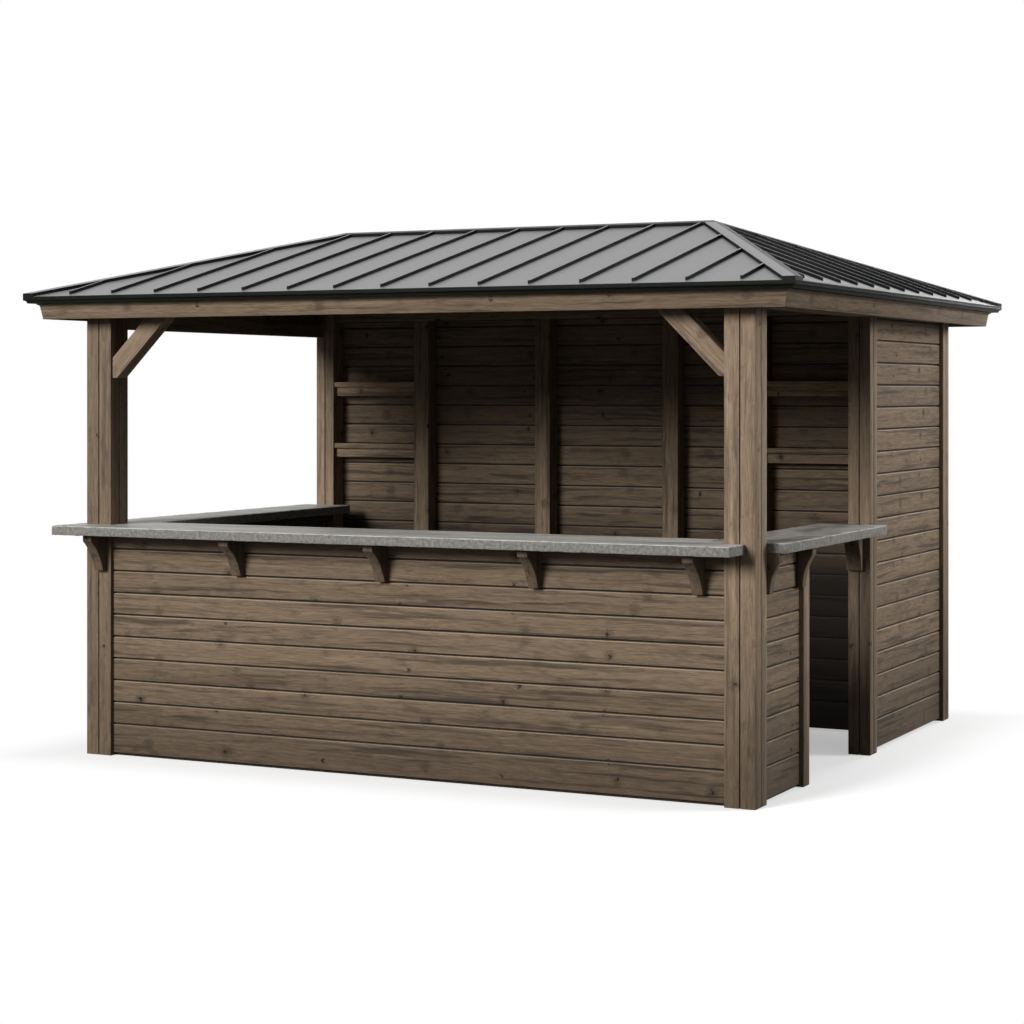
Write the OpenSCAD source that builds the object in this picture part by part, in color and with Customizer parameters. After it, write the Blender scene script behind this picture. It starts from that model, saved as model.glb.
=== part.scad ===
/* [Plan] */
// Width over the outer faces of the corner posts
plan_w = 3420; // [3000:10:4200]
// Depth over the outer faces of the corner posts
plan_d = 3000; // [2800:10:3800]
// Front face of the building to the front of the door post
door_post_y = 1600; // [1500:10:1700]
// Front face of the building to the end of the right half wall
half_wall_end = 700; // [600:10:900]
// Front face of the building to the front of the left rear post
rear_post_y = 2150; // [2000:10:2200]

/* [Posts] */
// Width of a front post, across the front
post_w = 140; // [120:5:180]
// Depth of a front post, front to back
post_d = 140; // [110:5:180]
// Side of the square rear and door posts
rear_post = 110; // [90:5:125]
// Depth of the joint line between the two boards of a front post
post_joint = 4; // [2:1:8]
// Width of the post at the free end of the half wall
end_post_w = 80; // [60:5:110]

/* [Walls] */
// How far the posts stand proud of the cladding
proud = 20; // [10:1:30]
// Thickness of the bar cladding
clad_t = 20; // [15:1:30]
// Depth of the studs and rails behind the bar cladding
frame_t = 70; // [50:5:75]
// Height of a bar rail
rail_h = 45; // [30:5:60]
// Width of a bar stud
stud_w = 45; // [30:5:60]
// Number of studs in the front bar wall
front_studs = 4; // [2:1:8]
// Number of studs in the left bar wall
left_studs = 3; // [1:1:6]
// Thickness of a full-height wall
wall_t = 60; // [40:5:80]
// Thickness of the back-bar partition
partition_t = 40; // [25:5:60]
// Gap under the cladding
clad_gap = 15; // [5:1:30]

/* [Back bar] */
// Width of an upright on the partition
upright_w = 90; // [60:5:120]
// Depth of an upright, which is also the depth of the shelves
upright_d = 100; // [70:5:150]
// Left outer face to the middle of the first upright
upright_first = 668; // [600:1:800]
// Right outer face to the middle of the last upright
upright_last = 778; // [600:1:900]
// Spacing of the last two uprights, which is less than that of the others
upright_gap = 487; // [350:1:600]
// Height of the head rail across the tops of the uprights
head_h = 57; // [40:1:80]
// Top of the upper shelves
upper_shelf_z = 1803; // [1700:5:1900]
// Height from the lower shelves to the upper ones
shelf_gap = 345; // [250:5:450]
// Thickness of a shelf board
shelf_t = 28; // [18:1:40]
// Height of the apron under a shelf's front edge
apron_h = 50; // [30:1:80]
// Thickness of the apron
apron_t = 22; // [15:1:30]
// How far the apron is set back from the shelf's edge
apron_back = 20; // [5:1:30]

/* [Counter] */
// Top of the bar counters
counter_z = 1110; // [1000:5:1200]
// Thickness of a counter slab
counter_t = 45; // [30:1:70]
// Overhang of the front counter beyond the front posts
lip_front = 180; // [100:5:200]
// Depth of the front counter behind the front face of the posts
depth_front = 270; // [200:5:400]
// Overhang of the left counter beyond the left face
lip_left = 75; // [40:5:120]
// Depth of the left counter inside the left face
depth_left = 220; // [200:5:500]
// Overhang of the right counter beyond the right face
lip_right = 85; // [60:5:120]
// Depth of the right counter inside the right face
depth_right = 265; // [200:5:400]
// Right end of the front counter to the right face
counter_stop = 47; // [20:1:80]

/* [Brackets] */
// Thickness of a counter bracket
bracket_t = 50; // [35:1:70]
// Height of a counter bracket
bracket_h = 175; // [140:5:220]
// Reach of a front bracket beyond the front face of the posts
bracket_reach = 126; // [80:1:150]
// Reach of a side bracket beyond the side face of the posts
side_bracket_reach = 58; // [40:1:70]
// Height of a bracket's blunt tip
bracket_tip = 30; // [20:1:45]
// Depth of a bracket's foot
bracket_foot = 32; // [15:1:40]
// Radius of a bracket's hollow curve
bracket_r = 250; // [200:10:400]
// Left outer face to the middle of the first front bracket
bracket_first = 93; // [40:1:115]
// Right outer face to the middle of the last front bracket
bracket_last = 256; // [200:1:400]
// Number of front brackets
front_brackets = 5; // [3:1:5]
// Number of left brackets
left_brackets = 3; // [2:1:5]
// Width of the bracket on the door post
door_bracket_t = 75; // [40:1:90]

/* [Frame] */
// Top of the headers, posts and walls
header_top = 2195; // [2100:5:2500]
// Depth of the front and right headers
header_h = 85; // [60:5:140]
// Depth of the left header
left_header_h = 140; // [90:5:180]
// Thickness of the left header, which lies along the outer faces of the posts
left_header_t = 45; // [35:5:90]
// Height from the foot of a knee brace to the front header
brace_h = 295; // [220:5:360]
// Width of a knee brace, square to its length
brace_w = 88; // [60:1:110]
// Thickness of a knee brace, front to back
brace_t = 80; // [50:1:90]
// Length of the level cut at the foot of a knee brace
brace_cut = 28; // [10:1:50]
// Set-back of a knee brace from the front of the post
brace_back = 12; // [0:1:20]

/* [Roof] */
// Overhang of the roof's edge beyond the posts at the front and back
overhang_front = 185; // [160:5:300]
// Overhang of the roof's edge beyond the posts at the sides
overhang_side = 240; // [200:5:300]
// Height of the roof sheet's top at the eaves above the headers
eave_lift = 10; // [0:1:40]
// Rise of the roof from the eaves to the ridge
roof_rise = 355; // [250:5:600]
// Length of the ridge
ridge_len = 2040; // [1600:10:2400]
// How far the ridge lies in front of the middle of the roof
ridge_shift = 200; // [0:10:300]
// Thickness of the roof deck and sheet, measured upright
panel_t = 10; // [6:1:12]
// Height of a standing seam
seam_h = 15; // [10:1:40]
// Width of a standing seam
seam_w = 10; // [8:1:20]
// Spacing of the standing seams
seam_pitch = 243; // [200:1:320]
// Set-back of the seams from the eaves
seam_back = 40; // [4:1:60]
// Width of a ridge or hip cap on each slope
cap_w = 48; // [40:1:90]
// Height of a cap above the roof sheet
cap_h = 16; // [12:1:45]
// Drop of the metal eave trim below the sheet's top
trim_drop = 32; // [28:1:45]
// Depth of the eave trim, outside to inside
trim_d = 46; // [30:1:50]
// Radius of the hollow along the eave trim
trim_cove = 14; // [8:1:16]
// Height of the crown fascia under the eave trim
fascia_h = 75; // [50:1:85]
// Depth of the crown fascia at its top
fascia_d = 46; // [40:1:60]
// Depth of the crown fascia at its bottom
fascia_foot = 24; // [15:1:30]
// Radius of the cove along the fascia's top
cove_r = 12; // [6:1:16]
// Thickness of the rafters and of the ridge beam
rafter_w = 38; // [30:1:60]
// Depth of the notch where a rafter seats on its header
rafter_seat = 20; // [10:1:30]
// Spacing of the rafters on the long slopes
rafter_pitch = 600; // [450:10:650]
// Number of rafters on each long slope
rafter_count = 4; // [2:1:4]
// Depth of the ridge beam
ridge_beam_h = 140; // [90:5:180]

/* [Hidden] */
$fn = 64;
hw = plan_w / 2;
hd = plan_d / 2;
slab_z = counter_z - counter_t;
frame_in = proud + clad_t + frame_t;
partition_y = rear_post_y + rear_post - hd;
lower_shelf_z = upper_shelf_z - shelf_gap;
upright_pitch = (plan_w - upright_first - upright_last - upright_gap) / 2;
upright_x = concat([for (i = [0:2]) -hw + upright_first + i * upright_pitch], [hw - upright_last]);
bracket_pitch = (plan_w - bracket_first - bracket_last) / (front_brackets - 1);
header_z = header_top - header_h;
left_header_z = header_top - left_header_h;
brace_z = header_z - brace_h;
eave_x = hw + overhang_side;
eave_y = hd + overhang_front;
ridge_half = ridge_len / 2;
eave_z = header_top + eave_lift;
ridge_z = eave_z + roof_rise;
trim_z = eave_z - trim_drop;
sheet_z = eave_z - panel_t;
edge_d = trim_d + fascia_d;
tall = 2 * ridge_z;

timber = "#6f5d4c";
dark_timber = "#5d4d40";
frame_timber = "#8a7a66";
slab_grey = "#9a9894";
roof_grey = "#6d6f70";
trim_dark = "#2c302c";

// A box between two opposite corners.
module box(a, b) { translate(a) cube(b - a); }

// Places a piece drawn for the front on side 0 front, 1 right, 2 back or 3 left.
module on_side(side) { rotate([0, 0, 90 * side]) children(); }

// Extrudes a profile drawn as (inwards, up) along a side whose edge lies at distance e.
module along(e, l) {
  translate([-l, -e, 0]) rotate([90, 0, 90]) linear_extrude(2 * l) children();
}

// Eave distance, half length at the eave, half length at the ridge and run of a side's slope.
function eave(side) = side % 2 == 0 ? eave_y : eave_x;
function half_eave(side) = side % 2 == 0 ? eave_x : eave_y;
function half_ridge(side) = side % 2 == 0 ? ridge_half : 0;
function run(side) = side % 2 == 0 ? eave_y + (side - 1) * ridge_shift : eave_x - ridge_half;
function pitch(side) = roof_rise / run(side);

// Where a slope's upper edge has its middle, and the ridge's place seen from that side.
function peak(side) = [0, -ridge_shift, 0, ridge_shift][side];
function ridge_y(side) = run(side) - eave(side);

// How far the hip at end s, -1 or 1, of a slope leans in, where it is at v from the eave,
// and how far along the eave an inset c of it reaches.
function lean(side, s) = half_eave(side) - half_ridge(side) - s * peak(side);
function hip_x(side, s, v) = s * (half_eave(side) - lean(side, s) * v / run(side));
function hip_shift(side, s, c) = c * norm([lean(side, s), run(side)]) / run(side);

// Plan of one slope, inset by c from its hips and ridge.
module slope_plan(side, c = 0, from = 0) {
  k = [for (s = [-1, 1]) -s * hip_shift(side, s, c)];
  ridged = half_ridge(side) > 0;
  top = ridged ? run(side) - c : run(side) * (1 - (k[0] - k[1]) / (2 * half_eave(side)));
  translate([0, -eave(side)])
    polygon(concat([[hip_x(side, -1, from) + k[0], from], [hip_x(side, 1, from) + k[1], from],
                    [hip_x(side, 1, top) + k[1], top]],
                   ridged ? [[hip_x(side, -1, top) + k[0], top]] : []));
}

// The layer of a slope between the upright offsets a and b from the top of its sheet.
module slope_layer(side, a, b) {
  along(eave(side), half_eave(side))
    polygon([[0, eave_z + a], [run(side), ridge_z + a], [run(side), ridge_z + b], [0, eave_z + b]]);
}

// What a plan shape cuts out of a slope's layer.
module slope_piece(side, a, b) {
  intersection() {
    slope_layer(side, a, b);
    linear_extrude(tall) children();
  }
}

// Plan of a straight mitred edge, m wide, for the trim and the fascia.
module mitre_plan(side, m = edge_d) {
  l = half_eave(side);
  e = eave(side);
  polygon([[-l, -e], [l, -e], [l - m, m - e], [m - l, m - e]]);
}

module front_post() {
  linear_extrude(header_top) difference() {
    square([post_w, post_d]);
    for (y = [0, post_d]) translate([post_w / 2, y]) rotate(45) square(post_joint, center = true);
    for (x = [0, post_w]) translate([x, post_d / 2]) rotate(45) square(post_joint, center = true);
  }
}

module square_post(x, y) { translate([x, y, 0]) cube([rear_post, rear_post, header_top]); }

module front_left_post() color(timber) translate([-hw, -hd, 0]) front_post();
module front_right_post() color(timber) translate([hw - post_w, -hd, 0]) front_post();
module left_rear_post() color(timber) square_post(-hw, rear_post_y - hd);
module door_post() color(timber) square_post(hw - rear_post, door_post_y - hd);
module back_posts() color(timber) for (x = [-hw, hw - rear_post]) square_post(x, hd - rear_post);
module right_end_post() color(timber)
  box([hw - frame_in, half_wall_end - end_post_w - hd, 0], [hw, half_wall_end - hd, slab_z]);

// The strip of a bar wall at depths a to b behind the outer face, z0 to z1 high.
module front_strip(a, b, z0, z1) box([post_w - hw, a - hd, z0], [hw - post_w, b - hd, z1]);
module left_strip(a, b, z0, z1) box([a - hw, post_d - hd, z0], [b - hw, rear_post_y - hd, z1]);
module right_strip(a, b, z0, z1)
  box([hw - b, post_d - hd, z0], [hw - a, half_wall_end - end_post_w - hd, z1]);

module front_bar_cladding() color(timber) front_strip(proud, proud + clad_t, clad_gap, slab_z);
module left_bar_cladding() color(timber) left_strip(proud, proud + clad_t, clad_gap, slab_z);
module right_bar_cladding() color(timber) right_strip(proud, proud + clad_t, clad_gap, slab_z);

module bar_rails(z0, z1) color(frame_timber) {
  front_strip(proud + clad_t, frame_in, z0, z1);
  left_strip(proud + clad_t, frame_in, z0, z1);
  right_strip(proud + clad_t, frame_in, z0, z1);
}
module bar_bottom_rails() bar_rails(0, rail_h);
module bar_top_rails() bar_rails(slab_z - rail_h, slab_z);

module bar_studs() color(frame_timber) {
  front_len = plan_w - 2 * post_w;
  left_len = rear_post_y - post_d;
  for (i = [1:front_studs])
    translate([post_w - hw + i * front_len / (front_studs + 1) - stud_w / 2, proud + clad_t - hd, rail_h])
      cube([stud_w, frame_t, slab_z - 2 * rail_h]);
  for (i = [1:left_studs])
    translate([proud + clad_t - hw, post_d - hd + i * left_len / (left_studs + 1) - stud_w / 2, rail_h])
      cube([frame_t, stud_w, slab_z - 2 * rail_h]);
}

module left_wall() color(dark_timber)
  box([proud - hw, rear_post_y + rear_post - hd, clad_gap],
      [proud + wall_t - hw, hd - rear_post, header_top]);
module right_wall() color(dark_timber)
  box([hw - proud - wall_t, door_post_y + rear_post - hd, clad_gap],
      [hw - proud, hd - rear_post, header_top]);
module back_wall() color(dark_timber)
  box([rear_post - hw, hd - proud - wall_t, clad_gap], [hw - rear_post, hd - proud, header_top]);

module partition_wall() color(dark_timber)
  box([proud + wall_t - hw, partition_y, clad_gap],
      [hw - proud - wall_t, partition_y + partition_t, header_top]);
// The uprights on the partition and the head rail that ties their tops.
module partition_uprights() color(dark_timber) union() {
  front = partition_y - upright_d;
  for (x = upright_x) translate([x - upright_w / 2, front, 0]) cube([upright_w, upright_d, header_top]);
  box([rear_post - hw, front, header_top - head_h], [hw - proud - wall_t, partition_y, header_top]);
}

// A shelf between x0 and x1 with an apron under its front edge.
module shelf(x0, x1, z) {
  front = partition_y - upright_d;
  box([x0, front, z - shelf_t], [x1, partition_y, z]);
  box([x0, front + apron_back, z - shelf_t - apron_h], [x1, front + apron_back + apron_t, z - shelf_t]);
}
module shelves() color(dark_timber)
  for (z = [lower_shelf_z, upper_shelf_z]) {
    shelf(rear_post - hw, upright_x[0] - upright_w / 2, z);
    shelf(upright_x[3] + upright_w / 2, hw - proud - wall_t, z);
  }

module left_counter_plan() translate([-hw - lip_left, post_d - hd])
  square([lip_left + depth_left, rear_post_y - post_d]);
module right_counter_plan() translate([hw - depth_right, post_d - hd])
  square([depth_right + lip_right, door_post_y - post_d]);
module front_counter_plan() difference() {
  translate([-hw - lip_left, -hd - lip_front])
    square([plan_w + lip_left - counter_stop, lip_front + depth_front]);
  for (x = [-hw, hw - post_w]) translate([x, -hd]) square([post_w, post_d]);
  left_counter_plan();
  right_counter_plan();
}
module slab() color(slab_grey) translate([0, 0, slab_z]) linear_extrude(counter_t) children();
module front_counter() slab() front_counter_plan();
module left_counter() slab() left_counter_plan();
module right_counter() slab() right_counter_plan();

// Side view of a bracket: flat top, blunt tip and a hollow curve down to its foot.
module bracket_profile(reach) {
  tip = [reach, -bracket_tip];
  foot = [bracket_foot, -bracket_h];
  d = norm(tip - foot);
  out = [tip[1] - foot[1], foot[0] - tip[0]] / d;
  centre = (tip + foot) / 2 + out * sqrt(bracket_r * bracket_r - d * d / 4);
  difference() {
    polygon([[0, 0], [reach, 0], tip, foot, [0, -bracket_h]]);
    translate(centre) circle(bracket_r);
  }
}
// A bracket against the plane y = 0, reaching forwards.
module bracket(reach, t = bracket_t) {
  translate([t / 2, 0, slab_z]) rotate([90, 0, -90]) linear_extrude(t) bracket_profile(reach);
}
module front_brackets() color(timber)
  for (i = [0:front_brackets - 1]) {
    on_post = bracket_first + i * bracket_pitch + bracket_t / 2 <= post_w;
    back = on_post ? 0 : proud;
    translate([bracket_first + i * bracket_pitch - hw, back - hd, 0]) bracket(bracket_reach + back);
  }
module left_brackets() color(timber)
  for (i = [0:left_brackets - 1]) {
    span = rear_post_y - post_d - bracket_t;
    translate([proud - hw, post_d - hd + bracket_t / 2 + i * span / (left_brackets - 1), 0])
      rotate([0, 0, -90]) bracket(side_bracket_reach + proud);
  }
module right_brackets() color(timber) {
  for (y = [post_d + bracket_t / 2, half_wall_end - end_post_w - bracket_t / 2])
    translate([hw - proud, y - hd, 0]) rotate([0, 0, 90]) bracket(side_bracket_reach + proud);
  translate([hw - rear_post + door_bracket_t / 2, door_post_y - hd, 0])
    bracket(side_bracket_reach + proud, door_bracket_t);
}

module front_header() color(timber)
  box([post_w - hw, -hd, header_z], [hw - post_w, post_d - hd, header_top]);
module left_header() color(dark_timber)
  box([-hw, post_d - hd, left_header_z], [left_header_t - hw, rear_post_y - hd, header_top]);
module right_header() color(dark_timber)
  box([hw - rear_post, post_d - hd, header_z], [hw, door_post_y - hd, header_top]);

// A 45 degree brace from a post on its left up to the front header.
module brace() {
  lift = brace_w * sqrt(2) - brace_cut;
  translate([0, brace_back + brace_t, brace_z]) rotate([90, 0, 0]) linear_extrude(brace_t)
    polygon([[0, 0], [brace_cut, 0], [brace_cut + brace_h, brace_h], [brace_h - lift, brace_h], [0, lift]]);
}
module knee_braces() color(timber)
  for (side = [0, 1]) mirror([side, 0, 0]) translate([post_w - hw, -hd, 0]) brace();

// Plan of the standing seams of one slope, short of the caps and of the eaves.
module seam_plan(side) {
  l = half_eave(side) - max([for (s = [-1, 1]) hip_shift(side, s, cap_w)]);
  n = floor((l - seam_w) / seam_pitch);
  intersection() {
    slope_plan(side, cap_w, seam_back);
    for (i = [-n:n]) translate([i * seam_pitch - seam_w / 2, -eave(side)]) square([seam_w, run(side)]);
  }
}
module roof_slope(side) color(roof_grey) on_side(side) union() {
  slope_piece(side, -panel_t, 0) slope_plan(side);
  slope_piece(side, -panel_t / 2, seam_h) seam_plan(side);
}
module front_roof() roof_slope(0);
module right_roof() roof_slope(1);
module back_roof() roof_slope(2);
module left_roof() roof_slope(3);

// The part of a long slope's plan that lies within one cap width of the ridge.
module ridge_band(side) intersection() {
  slope_plan(side);
  translate([-eave_x, ridge_y(side) - cap_w]) square([2 * eave_x, cap_w]);
}
module ridge_cap() color(roof_grey) union()
  for (side = [0, 2]) on_side(side) slope_piece(side, 0, cap_h) ridge_band(side);

// The hip strips of one slope, without what the ridge cap covers.
module hip_band(side) difference() {
  slope_plan(side);
  slope_plan(side, cap_w);
  if (half_ridge(side) > 0)
    translate([-eave_x, ridge_y(side) - cap_w]) square([2 * eave_x, 2 * cap_w]);
}
module hip_caps() color(roof_grey) union()
  for (side = [0:3]) on_side(side) slope_piece(side, 0, cap_h) hip_band(side);

// What lies under the sheet of a slope, and under the sheets of both of its neighbours.
module under_slope(side) {
  span = 2 * eave(side);
  along(eave(side), half_eave(side))
    polygon([[0, 0], [span, 0], [span, sheet_z + span * pitch(side)], [0, sheet_z]]);
}
module under_neighbours(side) intersection_for (turn = [1, 3])
  rotate([0, 0, 90 * turn]) under_slope((side + turn) % 4);

// Metal eave trim: an upright edge and a hollow under the sheet, its top following the slope.
module trim_profile(side) {
  difference() {
    polygon([[0, sheet_z], [0, trim_z + trim_cove], [trim_cove, trim_z], [trim_d, trim_z],
             [trim_d, sheet_z + trim_d * pitch(side)]]);
    translate([0, trim_z]) circle(trim_cove);
  }
}
module eave_trim(side) color(trim_dark) on_side(side) intersection() {
  along(eave(side), half_eave(side)) trim_profile(side);
  linear_extrude(tall) mitre_plan(side);
  under_neighbours(side);
}
module front_eave_trim() eave_trim(0);
module right_eave_trim() eave_trim(1);
module back_eave_trim() eave_trim(2);
module left_eave_trim() eave_trim(3);

// Timber crown fascia: a back board behind the trim, a cove below it, then a face that leans in.
module fascia_profile(side) {
  lip = cove_r / 2;
  difference() {
    polygon([[trim_d, trim_z - lip], [trim_d + cove_r, trim_z - lip - cove_r],
             [edge_d - fascia_foot, trim_z - fascia_h], [edge_d, trim_z - fascia_h],
             [edge_d, sheet_z + edge_d * pitch(side)], [trim_d, sheet_z + trim_d * pitch(side)]]);
    translate([trim_d, trim_z - lip - cove_r]) circle(cove_r);
  }
}
module fascia(side) color(timber) on_side(side) intersection() {
  along(eave(side), half_eave(side)) fascia_profile(side);
  linear_extrude(tall) mitre_plan(side);
  under_neighbours(side);
}
module front_fascia() fascia(0);
module right_fascia() fascia(1);
module back_fascia() fascia(2);
module left_fascia() fascia(3);

module ridge_beam() color(frame_timber) {
  top = ridge_z - panel_t;
  half = rafter_w / 2;
  translate([-ridge_half, -ridge_shift, 0]) rotate([90, 0, 90]) linear_extrude(ridge_len)
    polygon([[-half, top - ridge_beam_h], [half, top - ridge_beam_h],
             [half, top - pitch(2) * half], [0, top], [-half, top - pitch(0) * half]]);
}

// Upright depth of a rafter that seats in its header by the notch.
function rafter_depth(side) =
  sheet_z + (side % 2 == 0 ? overhang_front : overhang_side) * pitch(side) - header_top + rafter_seat;
// The room that the fascias leave for rafter tails, and the ring of headers they sit on.
module inside_fascias() square([2 * (eave_x - edge_d), 2 * (eave_y - edge_d)], center = true);
module header_ring() linear_extrude(header_top) difference() {
  square([plan_w, plan_d], center = true);
  square([plan_w - 2 * rear_post, plan_d - 2 * rear_post], center = true);
}
// Plan of the ridge beam's line, which the rafters at the ends of the roof follow too.
module ridge_strip() translate([0, -ridge_shift]) square([2 * eave_x, rafter_w], center = true);

// The plank under the hip at end s of a slope, from the corner to the end of the ridge.
module hip_strip(side, s) {
  line = [-s * lean(side, s), run(side)];
  translate([s * half_eave(side), -eave(side)]) rotate(atan2(line[1], line[0]))
    translate([0, -rafter_w / 2]) square([norm(line), rafter_w]);
}
module hip_rafters() color(frame_timber) difference() {
  union() for (side = [0:3]) on_side(side)
    slope_piece(side, -panel_t - rafter_depth(1), -panel_t) intersection() {
      slope_plan(side);
      for (s = [-1, 1]) hip_strip(side, s);
      rotate(-90 * side) inside_fascias();
    }
  header_ring();
  linear_extrude(tall) ridge_strip();
}

module rafters() color(frame_timber) difference() {
  union() {
    for (side = [0, 2]) on_side(side)
      slope_piece(side, -panel_t - rafter_depth(side), -panel_t) difference() {
        intersection() {
          slope_plan(side);
          for (i = [0:rafter_count - 1])
            translate([(i - (rafter_count - 1) / 2) * rafter_pitch - rafter_w / 2, -eave_y])
              square([rafter_w, run(side)]);
          inside_fascias();
        }
        rotate(-90 * side) ridge_strip();
      }
    for (side = [1, 3]) on_side(side)
      slope_piece(side, -panel_t - rafter_depth(side), -panel_t) intersection() {
        slope_plan(side);
        rotate(-90 * side) ridge_strip();
        rotate(-90 * side) inside_fascias();
      }
  }
  header_ring();
}

front_left_post();
front_right_post();
left_rear_post();
door_post();
back_posts();
right_end_post();
front_bar_cladding();
left_bar_cladding();
right_bar_cladding();
bar_bottom_rails();
bar_top_rails();
bar_studs();
left_wall();
right_wall();
back_wall();
partition_wall();
partition_uprights();
shelves();
front_counter();
left_counter();
right_counter();
front_brackets();
left_brackets();
right_brackets();
front_header();
left_header();
right_header();
knee_braces();
front_roof();
back_roof();
left_roof();
right_roof();
ridge_cap();
hip_caps();
front_eave_trim();
back_eave_trim();
left_eave_trim();
right_eave_trim();
front_fascia();
back_fascia();
left_fascia();
right_fascia();
ridge_beam();
hip_rafters();
rafters();
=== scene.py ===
import math
import random
import bpy
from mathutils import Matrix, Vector


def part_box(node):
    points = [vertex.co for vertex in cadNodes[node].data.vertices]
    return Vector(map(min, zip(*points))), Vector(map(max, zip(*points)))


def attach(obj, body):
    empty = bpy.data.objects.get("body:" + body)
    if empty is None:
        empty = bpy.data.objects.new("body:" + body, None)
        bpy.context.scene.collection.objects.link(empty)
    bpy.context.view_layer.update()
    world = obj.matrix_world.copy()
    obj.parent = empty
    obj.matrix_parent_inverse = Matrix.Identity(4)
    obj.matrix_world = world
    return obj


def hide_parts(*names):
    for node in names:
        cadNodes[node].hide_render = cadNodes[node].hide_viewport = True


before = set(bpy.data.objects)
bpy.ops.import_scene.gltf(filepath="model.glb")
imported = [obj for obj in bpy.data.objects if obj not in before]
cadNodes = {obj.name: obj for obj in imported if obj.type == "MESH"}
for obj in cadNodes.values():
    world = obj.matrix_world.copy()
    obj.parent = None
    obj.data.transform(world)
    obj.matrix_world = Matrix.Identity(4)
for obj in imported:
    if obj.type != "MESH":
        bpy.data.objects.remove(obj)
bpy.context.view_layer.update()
random.seed(23)
print("stage: frame loaded with", len(cadNodes), "nodes")


# Limits of the mesh helpers, in metres and degrees, and the steps of a rounded edge
meshLook = {"mergeWithin": 0.00002, "flatAngle": 0.5, "sharpAngle": 30, "smoothAngle": 32, "easeSteps": 2}


def hexColor(code):  # sRGB hex to linear colour
    channels = [int(code[i:i + 2], 16) / 255 for i in (1, 3, 5)]
    return [c / 12.92 if c <= 0.04045 else ((c + 0.055) / 1.055) ** 2.4 for c in channels] + [1.0]


def perMetre(millimetres):  # texture scale of a pattern with this spacing
    return 1000 / millimetres


def addNode(tree, kind, settings=None, inputs=None, links=None, stops=None):
    node = tree.nodes.new(kind)
    for key, value in (settings or {}).items():
        setattr(node, key, value)
    for key, value in (inputs or {}).items():
        node.inputs[key].default_value = value
    for key, source in (links or {}).items():
        tree.links.new(source, node.inputs[key])
    for i, (position, colour) in enumerate(stops or []):
        elements = node.color_ramp.elements
        element = elements[i] if i < 2 else elements.new(position)
        element.position = position
        element.color = hexColor(colour)
    return node


def newMaterial(name):
    material = bpy.data.materials.new(name)
    material.use_nodes = True
    return material, material.node_tree, material.node_tree.nodes["Principled BSDF"]


def deselectAll():
    if bpy.context.object and bpy.context.object.mode != "OBJECT":
        bpy.ops.object.mode_set(mode="OBJECT")
    bpy.ops.object.select_all(action="DESELECT")


def pickOnly(piece):
    deselectAll()
    piece.select_set(True)
    bpy.context.view_layer.objects.active = piece


def addBlock(name, low, high):  # a cube between two corners, with its place in its mesh
    deselectAll()
    middle = (Vector(low) + Vector(high)) / 2
    bpy.ops.mesh.primitive_cube_add(size=1, location=middle, scale=Vector(high) - Vector(low))
    block = bpy.context.object
    block.name = name
    bpy.ops.object.transform_apply(location=True, rotation=True, scale=True)
    return block


def clearSelection(piece, kind):  # empties a mesh's selection of points or edges
    pickOnly(piece)
    bpy.ops.object.mode_set(mode="EDIT")
    bpy.ops.mesh.select_mode(type=kind)
    bpy.ops.mesh.select_all(action="DESELECT")
    bpy.ops.object.mode_set(mode="OBJECT")


def selectEdges(piece, test):  # leaves edit mode on with the edges whose two ends pass the test
    clearSelection(piece, "EDGE")
    points = piece.data.vertices
    for edge in piece.data.edges:
        edge.select = all(test(points[v].co) for v in edge.vertices)
    bpy.ops.object.mode_set(mode="EDIT")


def selectPoints(piece, test):  # leaves edit mode on with the points that pass the test
    clearSelection(piece, "VERT")
    for point in piece.data.vertices:
        point.select = test(point.co)
    bpy.ops.object.mode_set(mode="EDIT")


def easeEdges(piece, width):  # rounds every sharp edge
    pickOnly(piece)
    bpy.ops.object.modifier_add(type="BEVEL")
    bevel = piece.modifiers[-1]
    bevel.width = width
    bevel.segments = meshLook["easeSteps"]
    bevel.limit_method = "ANGLE"
    bevel.angle_limit = math.radians(meshLook["sharpAngle"])
    bpy.ops.object.modifier_apply(modifier=bevel.name)


def copyNode(name, node):  # a merged copy of a CAD node's mesh, as a piece of its own
    deselectAll()
    piece = bpy.data.objects.new(name, cadNodes[node].data.copy())
    bpy.context.scene.collection.objects.link(piece)
    piece.data.materials.clear()
    pickOnly(piece)
    bpy.ops.mesh.customdata_custom_splitnormals_clear()
    bpy.ops.object.mode_set(mode="EDIT")
    bpy.ops.mesh.select_all(action="SELECT")
    bpy.ops.mesh.remove_doubles(threshold=meshLook["mergeWithin"])
    bpy.ops.mesh.dissolve_limited(angle_limit=math.radians(meshLook["flatAngle"]))
    bpy.ops.object.mode_set(mode="OBJECT")
    return piece


def joinPieces(pieces):
    deselectAll()
    for piece in pieces:
        piece.select_set(True)
    bpy.context.view_layer.objects.active = pieces[0]
    bpy.ops.object.join()
    return pieces[0]


def finishPiece(piece, slotName, *replacedNodes):
    pickOnly(piece)
    bpy.ops.object.shade_smooth_by_angle(angle=math.radians(meshLook["smoothAngle"]))
    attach(piece, "root")
    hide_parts(*replacedNodes)


# Turns that lay the grain along X, Y or Z, or up to the left or right at 45 degrees
grainTurn = {
    "x": (0, 0, 0),
    "y": (0, 0, -math.pi / 2),
    "z": (0, math.pi / 2, 0),
    "upRight": (0, math.pi / 4, 0),
    "upLeft": (0, -math.pi / 4, 0),
}

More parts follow.
